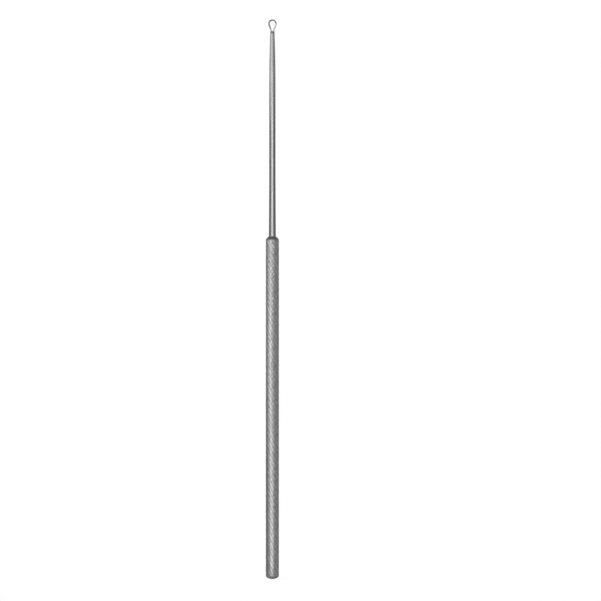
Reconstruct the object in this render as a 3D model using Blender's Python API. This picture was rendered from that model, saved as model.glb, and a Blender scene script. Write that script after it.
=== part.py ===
"""Ear curette: a wire loop brazed into a slim tapered shank on a knurled handle.

The tool stands on its butt end at the origin and points up along +Z.
Its loop lies in the XZ plane, so it is seen open from the front (-Y) and the back.
Each metal piece is an object of its own, modelled round the face that it is seated on.
"""
import math

import bmesh
import bpy

MM = 0.001

# Space that is left round each brazed or seated face
BRAZE_GAP = 0.03 * MM

# Handle: one solid bar with a domed butt and a polished chamfer at the top
HANDLE_LENGTH = 97.85 * MM
BAR_RADIUS = 1.85 * MM
DOME_HEIGHT = 0.96 * MM
DOME_STEPS = 6
BUTT_FLAT_RADIUS = 0.55 * MM
CHAMFER_HEIGHT = 0.88 * MM
CHAMFER_CROWN_POWER = 1.4
CHAMFER_STEPS = 4
COLLAR_LAND = 0.065 * MM

# Diamond knurl, rolled all along the bar by two wheels of unlike slant
KNURL_PITCH = 1.19 * MM
LEFT_GROOVE_SPACING = 1.87 * MM
RIGHT_GROOVE_SPACING = 1.3 * MM
KNURL_RISE = 0.05 * MM
KNURL_GROOVE = 0.11 * MM

# Shank: a turned rod, thick at the handle and drawn to a fine tip
SHANK_LENGTH = 58.65 * MM
FOOT_RADIUS = 1.005 * MM
WAIST_RADIUS = 0.905 * MM
FOOT_TAPER_LENGTH = 20.0 * MM
FOOT_TAPER_POWER = 1.5
FOOT_TAPER_STEPS = 4
TIP_TAPER_LENGTH = 20.0 * MM
TIP_TAPER_POWER = 2.5
TIP_TAPER_STEPS = 10
TIP_ROUNDING = 0.05 * MM
TIP_ROUNDING_STEPS = 3
SHANK_SIDES = 32

# Tang: the end of the shank that is brazed into the handle's bore
TANG_LENGTH = 12.0 * MM
TANG_CHAMFER = 0.2 * MM
BORE_RUNOUT = 0.3 * MM
DRILL_POINT_ANGLE = math.radians(118.0)

# Loop: one round wire, bent to a tapered eye with two straight legs
WIRE_RADIUS = 0.225 * MM
LOOP_RADIUS = 1.0 * MM
LOOP_TAPER = math.radians(19.7)
LEG_BEND_RADIUS = 0.6 * MM
LEG_RISE = 0.12 * MM
LEG_GAP = 0.21 * MM
LEG_MARGIN = 0.055 * MM
SLOT_DEPTH = 2.6 * MM
EYE_STEPS = 32
BEND_STEPS = 4
WIRE_RESOLUTION = 4

# Brazing at the neck: a ring in a shallow pocket, drawn up the shank as a fillet
POCKET_WIDTH = 0.1 * MM
POCKET_DEPTH = 0.2 * MM
FILLET_HEIGHT = 0.1 * MM
FILLET_EDGE = 0.01 * MM
FILLET_STEPS = 6

# Brazing at the tip: it fills the slot between the legs and climbs them a little
TIP_FILLET_HEIGHT = 0.12 * MM
TIP_BRAZE_STEPS = 8

# Length by which a cutter runs past the faces that it cuts
CUT_OVERRUN = 0.5 * MM

# Points closer than this are one point where a turned outline meets itself
WELD_DISTANCE = 0.001 * MM

# Places that follow from the sizes above
BORE_RADIUS = FOOT_RADIUS + BRAZE_GAP
POCKET_RADIUS = BORE_RADIUS + POCKET_WIDTH
COLLAR_RADIUS = POCKET_RADIUS + COLLAR_LAND
BORE_DEPTH = TANG_LENGTH + BORE_RUNOUT
LEG_OFFSET = LEG_GAP / 2 + WIRE_RADIUS
TIP_RADIUS = LEG_OFFSET + WIRE_RADIUS + LEG_MARGIN
SLOT_WIDTH = 2 * (WIRE_RADIUS + BRAZE_GAP)
TIP_HEIGHT = HANDLE_LENGTH + SHANK_LENGTH


def clear_scene():
    """Remove every object that the file was opened with."""
    for obj in list(bpy.data.objects):
        bpy.data.objects.remove(obj, do_unlink=True)


def metal(name, colour, roughness):
    """Make a metal whose Principled shader has this colour and roughness."""
    material = bpy.data.materials.new(name)
    material.use_nodes = True
    shader = material.node_tree.nodes["Principled BSDF"]
    shader.inputs["Base Color"].default_value = (*colour, 1.0)
    shader.inputs["Roughness"].default_value = roughness
    shader.inputs["Metallic"].default_value = 1.0
    material.diffuse_color = (*colour, 1.0)
    return material


def place(name, data, material, root, height):
    """Put a piece in the scene, with its seat at this height on the tool's axis."""
    data.materials.append(material)
    obj = bpy.data.objects.new(name, data)
    bpy.context.collection.objects.link(obj)
    obj.parent = root
    obj.location = (0.0, 0.0, height)
    return obj


def finish_mesh(name, bm, crease):
    """Turn the bmesh into a mesh with outward faces, smooth below the crease angle."""
    bmesh.ops.recalc_face_normals(bm, faces=bm.faces)
    mesh = bpy.data.meshes.new(name)
    bm.to_mesh(mesh)
    bm.free()
    mesh.shade_smooth()
    mesh.set_sharp_from_angle(angle=crease)
    return mesh


def lathe(name, outline, material, root, height, closed=False):
    """Turn an outline of (radius, height) points, listed down its outer side, round Z.

    A closed outline makes a ring. An open one starts and ends on the axis.
    """
    mesh = bpy.data.meshes.new(name)
    points = [(radius, 0.0, level) for radius, level in outline]
    edges = [(i, i + 1) for i in range(len(points) - 1)]
    if closed:
        edges.append((len(points) - 1, 0))
    mesh.from_pydata(points, edges, [])
    obj = place(name, mesh, material, root, height)
    turning = obj.modifiers.new("turning", "SCREW")
    turning.axis = "Z"
    turning.steps = SHANK_SIDES
    turning.render_steps = SHANK_SIDES
    turning.use_merge_vertices = True
    turning.merge_threshold = WELD_DISTANCE
    turning.use_smooth_shade = True
    return obj


def ring(bm, radius, height, count, turn):
    """Add a level ring of points, turned by this angle about the axis."""
    step = 2 * math.pi / count
    angles = [turn + step * i for i in range(count)]
    return [bm.verts.new((radius * math.cos(a), radius * math.sin(a), height)) for a in angles]


def skin(bm, lower, upper):
    """Join two rings of equal count with a band of four-sided faces."""
    count = len(lower)
    for i in range(count):
        j = (i + 1) % count
        bm.faces.new((lower[i], lower[j], upper[j], upper[i]))


def dome_outline():
    """List (radius, height) up the butt: an ellipse that starts at the small flat."""
    start = math.asin(BUTT_FLAT_RADIUS / BAR_RADIUS)
    sweep = math.pi / 2 - start
    full_height = DOME_HEIGHT / math.cos(start)
    outline = []
    for i in range(DOME_STEPS):
        angle = start + sweep * i / DOME_STEPS
        outline.append((BAR_RADIUS * math.sin(angle), DOME_HEIGHT - full_height * math.cos(angle)))
    return outline


def chamfer_outline():
    """List (radius, height) up the chamfer: a cone with a slight crown."""
    outline = []
    for i in range(1, CHAMFER_STEPS + 1):
        share = i / CHAMFER_STEPS
        radius = BAR_RADIUS - (BAR_RADIUS - COLLAR_RADIUS) * share ** CHAMFER_CROWN_POWER
        outline.append((radius, HANDLE_LENGTH - CHAMFER_HEIGHT * (1 - share)))
    return outline


def bore_outline(sides):
    """List (radius, height) down the pocket and the bore, clear of the tang at their flats."""
    flat_share = math.cos(math.pi / sides)
    pocket = POCKET_RADIUS / flat_share
    bore = BORE_RADIUS / flat_share
    floor = HANDLE_LENGTH - POCKET_DEPTH
    return [(pocket, HANDLE_LENGTH), (pocket, floor), (bore, floor), (bore, HANDLE_LENGTH - BORE_DEPTH)]


def knurl_rows(bm, starts, bottom, top):
    """Add the rings of the knurl, in which crests and groove crossings alternate.

    One row lies where the left-hand and the right-hand grooves cross, so its height is
    1 / (1/left + 1/right). Each row turns on by what the right-hand grooves gain over
    half a pitch, so the unlike slants of the two wheels are kept.
    """
    row_pitch = 1 / (1 / LEFT_GROOVE_SPACING + 1 / RIGHT_GROOVE_SPACING)
    count = max(2, round((top - bottom) / row_pitch))
    gain_share = row_pitch / RIGHT_GROOVE_SPACING - 0.5
    step = 2 * math.pi / starts
    rows = []
    for k in range(count + 1):
        row = ring(bm, BAR_RADIUS, bottom + (top - bottom) * k / count, 2 * starts, k * gain_share * step)
        if 0 < k < count:
            for c, vert in enumerate(row):
                radius = BAR_RADIUS + (KNURL_RISE if (k + c) % 2 == 0 else -KNURL_GROOVE)
                vert.co.xy = vert.co.xy * (radius / BAR_RADIUS)
        rows.append(row)
    return rows


def knurl_faces(bm, rows):
    """Split each cell from groove crossing to groove crossing, so its crests stand up."""
    columns = len(rows[0])
    for k in range(len(rows) - 1):
        for c in range(columns):
            d = (c + 1) % columns
            a, b = rows[k][c], rows[k][d]
            above, beyond = rows[k + 1][c], rows[k + 1][d]
            if (k + c) % 2 == 0:
                bm.faces.new((a, b, above))
                bm.faces.new((b, beyond, above))
            else:
                bm.faces.new((a, b, beyond))
                bm.faces.new((a, beyond, above))


def build_handle(root):
    """Knurled bar with a domed butt, a chamfered top and a blind bore for the tang."""
    starts = max(3, round(2 * math.pi * BAR_RADIUS / KNURL_PITCH))
    sides = 2 * starts
    bm = bmesh.new()
    dome = [ring(bm, radius, height, sides, 0.0) for radius, height in dome_outline()]
    knurl = knurl_rows(bm, starts, DOME_HEIGHT, HANDLE_LENGTH - CHAMFER_HEIGHT)
    turn = math.atan2(knurl[-1][0].co.y, knurl[-1][0].co.x)
    chamfer = [ring(bm, radius, height, sides, turn) for radius, height in chamfer_outline()]
    bore = [ring(bm, radius, height, sides, turn) for radius, height in bore_outline(sides)]
    bm.faces.new(dome[0])
    for lower, upper in zip(dome, dome[1:] + [knurl[0]]):
        skin(bm, lower, upper)
    knurl_faces(bm, knurl)
    top = [knurl[-1]] + chamfer + bore
    for lower, upper in zip(top, top[1:]):
        skin(bm, lower, upper)
    floor = bore[-1]
    drill_point = BORE_RADIUS / math.tan(DRILL_POINT_ANGLE / 2)
    centre = bm.verts.new((0.0, 0.0, HANDLE_LENGTH - BORE_DEPTH - drill_point))
    for i in range(sides):
        bm.faces.new((floor[i], floor[(i + 1) % sides], centre))
    mesh = finish_mesh("handle", bm, math.radians(15.0))
    return place("handle", mesh, metal("knurled_steel", (0.62, 0.62, 0.63), 0.36), root, 0.0)


def shank_radius(height):
    """Radius at this height above the handle: a waist, swelled at the foot, fined at the tip."""
    from_tip = SHANK_LENGTH - height
    foot_share = max(0.0, 1 - height / FOOT_TAPER_LENGTH) ** FOOT_TAPER_POWER
    tip_share = max(0.0, 1 - from_tip / TIP_TAPER_LENGTH) ** TIP_TAPER_POWER
    swell = (FOOT_RADIUS - WAIST_RADIUS) * foot_share
    fining = (WAIST_RADIUS - TIP_RADIUS) * tip_share
    return WAIST_RADIUS + swell - fining


def shank_outline():
    """List (radius, height) from the middle of the tip down the shank to the tang's end."""
    outline = [(0.0, SHANK_LENGTH)]
    for i in range(TIP_ROUNDING_STEPS + 1):
        angle = math.pi / 2 * i / TIP_ROUNDING_STEPS
        inset = TIP_ROUNDING * (1 - math.sin(angle))
        drop = TIP_ROUNDING * (1 - math.cos(angle))
        outline.append((TIP_RADIUS - inset, SHANK_LENGTH - drop))
    heights = {SHANK_LENGTH - TIP_TAPER_LENGTH * (i / TIP_TAPER_STEPS) ** 2
               for i in range(1, TIP_TAPER_STEPS + 1)}
    heights |= {FOOT_TAPER_LENGTH * i / FOOT_TAPER_STEPS for i in range(1, FOOT_TAPER_STEPS + 1)}
    for height in sorted(heights, reverse=True):
        if 0 < height < SHANK_LENGTH - TIP_ROUNDING:
            outline.append((shank_radius(height), height))
    outline.append((FOOT_RADIUS, 0.0))
    outline.append((FOOT_RADIUS, TANG_CHAMFER - TANG_LENGTH))
    outline.append((FOOT_RADIUS - TANG_CHAMFER, -TANG_LENGTH))
    outline.append((0.0, -TANG_LENGTH))
    return outline


def build_shank(root):
    """Turned rod with a tang below the handle's top and a sawn slot in its fine end."""
    steel = metal("polished_steel", (0.66, 0.66, 0.67), 0.2)
    shank = lathe("shank", shank_outline(), steel, root, HANDLE_LENGTH)
    bm = bmesh.new()
    bmesh.ops.create_cube(bm, size=1.0)
    length = 2 * (TIP_RADIUS + CUT_OVERRUN)
    bmesh.ops.scale(bm, vec=(length, SLOT_WIDTH, SLOT_DEPTH + CUT_OVERRUN), verts=bm.verts)
    middle = (CUT_OVERRUN - SLOT_DEPTH) / 2
    bmesh.ops.translate(bm, vec=(0.0, 0.0, middle), verts=bm.verts)
    saw = place("slot_saw", finish_mesh("slot_saw", bm, 0.0), steel, root, TIP_HEIGHT)
    saw.hide_render = True
    saw.display_type = "WIRE"
    cut = shank.modifiers.new("slot", "BOOLEAN")
    cut.operation = "DIFFERENCE"
    cut.object = saw
    return shank


def arc(centre_x, centre_z, radius, start, end, steps):
    """List (x, z) points along an arc, both ends included."""
    angles = [start + (end - start) * i / steps for i in range(steps + 1)]
    return [(centre_x + radius * math.cos(a), centre_z + radius * math.sin(a)) for a in angles]


def loop_path():
    """List (x, z) along the wire, above the tip: leg, bend, straight side, eye, and back.

    The sides are tangent both to the eye and to the bends that bring the legs
    upright, so the eye's height follows from the taper and the two radii.
    """
    bend_x = LEG_OFFSET + LEG_BEND_RADIUS
    side_run = LOOP_RADIUS * math.cos(LOOP_TAPER) - bend_x + LEG_BEND_RADIUS * math.cos(LOOP_TAPER)
    side_rise = side_run / math.tan(LOOP_TAPER)
    eye_height = LEG_RISE + (LEG_BEND_RADIUS + LOOP_RADIUS) * math.sin(LOOP_TAPER) + side_rise
    foot = [(LEG_OFFSET, BRAZE_GAP - SLOT_DEPTH)]
    bend = arc(bend_x, LEG_RISE, LEG_BEND_RADIUS, math.pi, math.pi - LOOP_TAPER, BEND_STEPS)
    side = foot + bend
    eye = arc(0.0, eye_height, LOOP_RADIUS, -LOOP_TAPER, math.pi + LOOP_TAPER, EYE_STEPS)
    return side + eye + [(-x, z) for x, z in reversed(side)]


def build_loop(root):
    """Round wire along the loop's path, with both legs down in the slot."""
    points = loop_path()
    wire = bpy.data.curves.new("loop_wire", "CURVE")
    wire.dimensions = "3D"
    wire.twist_mode = "MINIMUM"
    wire.bevel_depth = WIRE_RADIUS
    wire.bevel_resolution = WIRE_RESOLUTION
    wire.use_fill_caps = True
    spline = wire.splines.new("POLY")
    spline.points.add(len(points) - 1)
    for point, (x, z) in zip(spline.points, points):
        point.co = (x, 0.0, z, 1.0)
    spline.use_smooth = True
    return place("loop_wire", wire, metal("wire_steel", (0.68, 0.68, 0.69), 0.22), root, TIP_HEIGHT)


def build_neck_braze(root):
    """Ring of brazing metal in the handle's pocket, with a hollow fillet up the shank."""
    inner = FOOT_RADIUS + BRAZE_GAP
    outer = COLLAR_RADIUS - COLLAR_LAND / 2
    plug = POCKET_RADIUS - BRAZE_GAP
    reach = outer - inner - FILLET_EDGE
    climb = FILLET_HEIGHT - FILLET_EDGE
    outline = [(inner, BRAZE_GAP + FILLET_HEIGHT)]
    for i in range(FILLET_STEPS + 1):
        angle = math.pi / 2 * i / FILLET_STEPS
        height = BRAZE_GAP + FILLET_HEIGHT - climb * math.sin(angle)
        outline.append((outer - reach * math.cos(angle), height))
    outline.append((outer, BRAZE_GAP))
    outline.append((plug, BRAZE_GAP))
    outline.append((plug, BRAZE_GAP - POCKET_DEPTH))
    outline.append((inner, BRAZE_GAP - POCKET_DEPTH))
    silver = metal("neck_silver", (0.72, 0.71, 0.68), 0.3)
    return lathe("neck_braze", outline, silver, root, HANDLE_LENGTH, closed=True)


def build_tip_braze(root):
    """Brazing metal between the legs: hollow where it lies against the round wires."""
    half_depth = WIRE_RADIUS
    reach = WIRE_RADIUS + BRAZE_GAP
    bm = bmesh.new()
    bottom = []
    top = []
    for i in range(TIP_BRAZE_STEPS + 1):
        y = half_depth * (2 * i / TIP_BRAZE_STEPS - 1)
        width = LEG_OFFSET - math.sqrt(reach ** 2 - y ** 2)
        xs = [width * (2 * j / TIP_BRAZE_STEPS - 1) for j in range(TIP_BRAZE_STEPS + 1)]
        bottom.append([bm.verts.new((x, y, BRAZE_GAP - SLOT_DEPTH)) for x in xs])
        top.append([bm.verts.new((x, y, TIP_FILLET_HEIGHT * (x / width) ** 2 * (1 - (y / reach) ** 2)))
                    for x in xs])
    for i in range(TIP_BRAZE_STEPS):
        for j in range(TIP_BRAZE_STEPS):
            bm.faces.new((top[i][j], top[i][j + 1], top[i + 1][j + 1], top[i + 1][j]))
            bm.faces.new((bottom[i][j], bottom[i + 1][j], bottom[i + 1][j + 1], bottom[i][j + 1]))
    for low, high in ((bottom[0], top[0]), (bottom[-1], top[-1]),
                      ([row[0] for row in bottom], [row[0] for row in top]),
                      ([row[-1] for row in bottom], [row[-1] for row in top])):
        for j in range(TIP_BRAZE_STEPS):
            bm.faces.new((low[j], low[j + 1], high[j + 1], high[j]))
    mesh = finish_mesh("tip_braze", bm, math.radians(35.0))
    return place("tip_braze", mesh, metal("tip_silver", (0.72, 0.71, 0.68), 0.3), root, TIP_HEIGHT)


def main():
    """Build every piece under one empty that stands at the butt end."""
    clear_scene()
    root = bpy.data.objects.new("ear_curette", None)
    bpy.context.collection.objects.link(root)
    build_handle(root)
    build_shank(root)
    build_loop(root)
    build_neck_braze(root)
    build_tip_braze(root)


main()
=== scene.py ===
"""Looks of the ear curette: knurled handle, polished shank, wire loop and brazed joints.

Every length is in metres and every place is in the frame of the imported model, which
stands on its butt end at the origin with the loop at the top, seen open from -Y.
"""
import math
from typing import NamedTuple

import bmesh
import bpy
import numpy as np
from bpy.props import FloatProperty, FloatVectorProperty, IntProperty, PointerProperty
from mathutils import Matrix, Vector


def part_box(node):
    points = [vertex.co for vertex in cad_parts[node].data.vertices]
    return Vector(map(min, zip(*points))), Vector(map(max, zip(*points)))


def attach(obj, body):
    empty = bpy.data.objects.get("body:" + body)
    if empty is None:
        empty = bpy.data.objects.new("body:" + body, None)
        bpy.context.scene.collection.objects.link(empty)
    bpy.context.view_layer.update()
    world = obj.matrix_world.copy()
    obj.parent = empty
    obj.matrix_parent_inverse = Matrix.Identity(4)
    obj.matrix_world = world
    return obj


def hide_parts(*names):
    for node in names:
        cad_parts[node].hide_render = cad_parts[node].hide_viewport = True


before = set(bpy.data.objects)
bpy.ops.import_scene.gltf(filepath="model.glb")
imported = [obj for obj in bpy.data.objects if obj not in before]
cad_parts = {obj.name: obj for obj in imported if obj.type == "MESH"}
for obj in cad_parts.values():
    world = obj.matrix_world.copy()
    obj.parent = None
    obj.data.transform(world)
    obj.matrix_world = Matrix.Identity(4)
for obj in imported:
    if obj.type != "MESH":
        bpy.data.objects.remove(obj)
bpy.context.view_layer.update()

bl_info = {
    "name": "Ear Curette",
    "version": (1, 0, 0),
    "blender": (4, 5, 0),
    "location": "View3D > Sidebar > Curette",
    "description": "Builds the finished surfaces of a wire-loop ear curette round its solid model",
    "category": "Add Mesh",
}

HANDLE_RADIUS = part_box("handle")[1].x
HANDLE_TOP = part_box("handle")[1].z
SHANK_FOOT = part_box("shank")[0].z
SHANK_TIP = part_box("shank")[1].z
LOOP_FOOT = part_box("loop_wire")[0].z
MM = 0.001
QUARTER_TURN = math.pi / 2
HALF_TURN = math.pi
FULL_TURN = 2 * math.pi


# Settings


def property_maker(kind, **fixed):
    """A function that makes properties of this kind with these fixed settings."""
    def make(name, default, description):
        return kind(name=name, default=default, description=description, **fixed)
    return make


length = property_maker(FloatProperty, min=0.0, unit="LENGTH", precision=5)
share = property_maker(FloatProperty, min=0.0, max=1.0, subtype="FACTOR")
amount = property_maker(FloatProperty, min=0.0)
whole = property_maker(IntProperty, min=1)
colour = property_maker(FloatVectorProperty, min=0.0, max=1.0, subtype="COLOR")
angle = property_maker(FloatProperty, subtype="ANGLE")
focal_length = property_maker(FloatProperty, min=1.0, unit="CAMERA")


class CuretteHandle(bpy.types.PropertyGroup):
    """Sizes and colours of the knurled handle."""

    dome_height: length("Dome height", 0.96 * MM, "Height of the domed butt")
    flat_radius: length("Flat radius", 0.55 * MM, "Radius of the small flat on the butt")
    chamfer_height: length("Chamfer height", 0.88 * MM, "Height of the polished chamfer")
    chamfer_crown: amount("Chamfer crown", 1.4, "Power that rounds the chamfer")
    collar_radius: length("Collar radius", 1.2 * MM, "Radius of the chamfer's small end")
    pocket_radius: length("Pocket radius", 1.135 * MM, "Radius of the pocket for the brazing ring")
    pocket_depth: length("Pocket depth", 0.2 * MM, "Depth of that pocket")
    bore_radius: length("Bore radius", 1.035 * MM, "Radius of the bore for the shank's tang")
    bore_end_gap: length("Bore end gap", 0.3 * MM, "Space under the tang's end")
    land_inset: length("Land inset", 0.01 * MM, "How far the lands lie inside the solid's crests")
    left_depth: length("Left depth", 0.07 * MM, "Depth of the left-hand grooves")
    right_depth: length("Right depth", 0.045 * MM, "Depth of the right-hand grooves")
    wear: length("Wear", 0.03 * MM, "Most that a diamond has lost or leans")
    groove_share: share("Groove share", 0.1667, "Half-width of a groove, as a share of the pitch")
    starts: whole("Starts", 10, "Grooves of each slant round the bar")
    left_spacing: length("Left spacing", 1.87 * MM, "Spacing of the left-hand grooves along the bar")
    right_spacing: length("Right spacing", 1.3 * MM, "Spacing of the right-hand grooves along the bar")
    cell_steps: whole("Cell steps", 6, "Faces along a quarter of a diamond")
    land_colour: colour("Land colour", (0.7, 0.7, 0.705), "Colour of the worn lands")
    groove_colour: colour("Groove colour", (0.35, 0.35, 0.353), "Colour of the duller grooves")
    land_roughness: share("Land roughness", 0.27, "Roughness of the lands")
    groove_roughness: share("Groove roughness", 0.4, "Roughness of the grooves")
    polish_roughness: share("Polish roughness", 0.16, "Roughness of the chamfer and the dome")
    # Only the colour is darkened here, in a ring where the knurl runs out at the chamfer.
    runout_tone: share("Grime shade", 0.45, "Share of the colour left where the knurl runs out")
    runout_reach: length("Grime reach", 0.3 * MM, "Length of that darker ring to each side")
    bare_metal: share("Bare metal", 0.82, "Share that is bare metal, not dull film")


class CuretteShank(bpy.types.PropertyGroup):
    """Sizes and colours of the tapered shank."""

    foot_radius: length("Foot radius", 1.005 * MM, "Radius where the shank enters the handle")
    waist_radius: length("Waist radius", 0.905 * MM, "Radius of the shank's straight middle")
    tip_radius: length("Tip radius", 0.61 * MM, "Radius of the fine end")
    foot_taper: length("Foot taper", 20.0 * MM, "Length over which the foot swells")
    tip_taper: length("Tip taper", 20.0 * MM, "Length over which the tip is drawn fine")
    tip_rounding: length("Tip rounding", 0.05 * MM, "Rounding of the edge at the fine end")
    tang_chamfer: length("Tang chamfer", 0.2 * MM, "Chamfer on the tang's end")
    slot_width: length("Slot width", 0.51 * MM, "Width of the sawn slot for the wire")
    slot_depth: length("Slot depth", 2.6 * MM, "Depth of that slot")
    steel_colour: colour("Steel colour", (0.6, 0.6, 0.605), "Colour of the polished steel")
    roughness: share("Roughness", 0.12, "Roughness of the polished steel")
    dull_reach: length("Dull reach", 36.0 * MM, "Length over which the fine end grows duller")
    tip_dulling: share("Tip dulling", 0.26, "Roughness that use adds at the fine end")
    # Painted light: lightens the steel's colour towards the fine end.
    painted_tip_light: amount("Tip tone", 1.15, "Brightness of the fine end")
    joint_shade: share("Joint shade", 0.8, "Share of the colour left beside the tip joint")
    joint_dulling: share("Joint dulling", 0.25, "Roughness added beside the tip joint")
    joint_reach: length("Joint reach", 0.75 * MM, "Length of that darker band")


class CuretteLoop(bpy.types.PropertyGroup):
    """Sizes and colours of the wire loop."""

    wire_radius: length("Wire radius", 0.225 * MM, "Radius of the round wire")
    eye_radius: length("Eye radius", 1.0 * MM, "Radius of the eye, to the middle of the wire")
    taper: angle("Taper", math.radians(19.7), "Slope of the loop's straight sides")
    bend_radius: length("Bend radius", 0.6 * MM, "Radius of the bends above the legs")
    leg_rise: length("Leg rise", 0.12 * MM, "How far the legs run straight out of the shank")
    leg_offset: length("Leg offset", 0.33 * MM, "Distance of each leg from the tool's axis")
    flat_depth: share("Flat depth", 0.62, "Distance of the flats from the wire's middle, in radii")
    flat_tilt: angle("Flat tilt", math.radians(21.0), "How far the flats lean towards the eye")
    flat_fade: length("Flat fade", 0.5 * MM, "Height over which the flats begin")
    wire_colour: colour("Wire colour", (0.6, 0.6, 0.605), "Colour of the drawn wire")
    roughness: share("Roughness", 0.2, "Roughness of the drawn wire")
    skin_colour: colour("Skin colour", (0.75, 0.75, 0.75), "Colour of the matt skin that brazing leaves")
    skin_cover: share("Skin cover", 0.65, "Share that this skin covers beside the shank")
    skin_reach: length("Skin reach", 1.6 * MM, "How far up the legs the skin reaches")


class CuretteBrazing(bpy.types.PropertyGroup):
    """Sizes and colours of the brazed joints."""

    gap: length("Gap", 0.03 * MM, "Space round the brazing metal")
    fillet_height: length("Fillet height", 0.1 * MM, "Height of the fillet at the neck")
    fillet_edge: length("Fillet edge", 0.01 * MM, "Thickness of the fillet's thin edges")
    collar_margin: length("Collar margin", 0.0325 * MM, "Bare width of the collar round the fillet")
    leg_climb: length("Leg climb", 0.12 * MM, "How far the metal climbs the wire's legs")
    leg_reach: length("Leg reach", 0.06 * MM, "Distance over which that climb dies away")
    film: length("Film", 0.012 * MM, "Thickness of the metal over the shank's end")
    silver_colour: colour("Silver colour", (0.6, 0.595, 0.58), "Colour of the brazing metal")
    roughness: share("Roughness", 0.26, "Roughness of the brazing metal")


class CuretteStage(bpy.types.PropertyGroup):
    """Camera, floor, white surroundings and diffusers."""

    photo_width: length("Photo width", 171.88 * MM, "Width that the picture takes in at the tool")
    camera_side: length("Camera side", 8.045 * MM, "How far the picture's middle is right of the tool")
    camera_height: length("Camera height", 79.59 * MM, "Height of the picture's middle")
    lens: focal_length("Lens", 150.0, "Focal length")
    fill_strength: amount("Fill strength", 0.8, "Strength of the white surroundings")
    upper_radiance: amount("Upper radiance", 1.25, "Brightness of the far diffuser in front")
    lower_radiance: amount("Lower radiance", 1.125, "Brightness of the near diffuser")
    back_radiance: amount("Back radiance", 1.0, "Brightness of the diffuser behind")
    right_radiance: amount("Right radiance", 0.5, "Brightness of the diffuser on the right")
    left_shade: share("Left shade", 0.1, "Grey of the shade left of the near diffuser")
    right_shade: share("Right shade", 0.2, "Grey of the shade right of the near diffuser")
    floor_radius: length("Floor radius", 10.0 * MM, "Radius of the pale floor")
    floor_colour: colour("Floor colour", (0.12, 0.12, 0.12), "Colour of the pale floor")
    floor_glow: share("Floor glow", 0.16, "How much lighter the floor is in reflections")
    rim_glow: share("Rim glow", 0.3, "Brightness of the floor's rim in reflections")


SETTINGS = {
    "curette_handle": CuretteHandle,
    "curette_shank": CuretteShank,
    "curette_loop": CuretteLoop,
    "curette_brazing": CuretteBrazing,
    "curette_stage": CuretteStage,
}


# Meshes


def new_object(name, points, faces):
    """Make a mesh object from points and faces, and link it to the scene."""
    mesh = bpy.data.meshes.new(name)
    mesh.from_pydata(np.asarray(points, float).reshape(-1, 3), [], faces)
    piece = bpy.data.objects.new(name, mesh)
    bpy.context.scene.collection.objects.link(piece)
    return piece


def closed_piece(name, points, faces, crease):
    """Make a piece that faces outwards, smooth where it bends less than the crease."""
    piece = new_object(name, points, faces)
    bm = bmesh.new()
    bm.from_mesh(piece.data)
    bmesh.ops.recalc_face_normals(bm, faces=bm.faces)
    bm.to_mesh(piece.data)
    bm.free()
    piece.data.shade_smooth()
    piece.data.set_sharp_from_angle(angle=crease)
    return piece


def dress(piece, slot, material, *nodes):
    """Give a piece its material, and let it ride and stand for these nodes. The slot is not used."""
    piece.data.materials.append(material)
    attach(piece, "root")
    if nodes:
        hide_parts(*nodes)


def whole_turn(columns):
    """Equal steps of angle round a circle, as one row."""
    return np.linspace(0, FULL_TURN, columns, endpoint=False)[None, :]


def turned(radii, angles, heights):
    """Points at (radius cos angle, radius sin angle, height), as one array."""
    radii, angles, heights = np.broadcast_arrays(radii, angles, heights)
    return np.stack([radii * np.cos(angles), radii * np.sin(angles), heights], axis=-1)


def wrapped_quads(rows, columns, first=0):
    """Faces of a grid of rows that each close on themselves."""
    index = first + np.arange(rows * columns).reshape(rows, columns)
    beside = np.roll(index, -1, axis=1)
    return np.stack([index[:-1], beside[:-1], beside[1:], index[1:]], axis=-1).reshape(-1, 4)


def open_quads(index):
    """Faces of a grid of point numbers that is open on all four sides."""
    corners = [index[:-1, :-1], index[:-1, 1:], index[1:, 1:], index[1:, :-1]]
    return np.stack(corners, axis=-1).reshape(-1, 4)


def fan(middle, ring):
    """Triangles from a middle point to a closed ring of point numbers."""
    return np.stack([np.full_like(ring, middle), ring, np.roll(ring, -1)], axis=-1)


def capped_tube(rows, columns):
    """Faces of a grid of closed rows, and one face over each end."""
    last = (rows - 1) * columns
    ends = [list(range(columns)), list(range(last, last + columns))]
    return wrapped_quads(rows, columns).tolist() + ends


# Handle

DOME_ROWS = 14
CHAMFER_ROWS = 12
WEAR_SEED = 7
DRILL_POINT = math.radians(118.0)
HANDLE_CREASE = math.radians(50.0)


def land_radius(s):
    """Radius of the knurl's flat lands."""
    return HANDLE_RADIUS - s.land_inset


def chamfer_radius(height, s):
    """Land radius less the chamfer: the drop to the collar times a power of the climb."""
    land = land_radius(s)
    climb = np.clip((height - (HANDLE_TOP - s.chamfer_height)) / s.chamfer_height, 0, 1)
    return land - (land - s.collar_radius) * climb ** s.chamfer_crown


def dome_radius(height, s):
    """Radius of the ellipse that starts at the butt's small flat and ends at the land."""
    land = land_radius(s)
    full = s.dome_height / math.cos(math.asin(s.flat_radius / land))
    drop = np.clip((s.dome_height - height) / full, 0, 1)
    return land * np.sqrt(1 - drop ** 2)


def off_whole(value):
    """Distance from the nearest whole number."""
    return np.abs(value - np.round(value))


def groove(across, depth, s):
    """A straight V round each half number of the count across, cut off at the land."""
    apart = 0.5 - off_whole(across)
    return depth * np.clip(1 - apart / s.groove_share, 0, 1)


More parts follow.
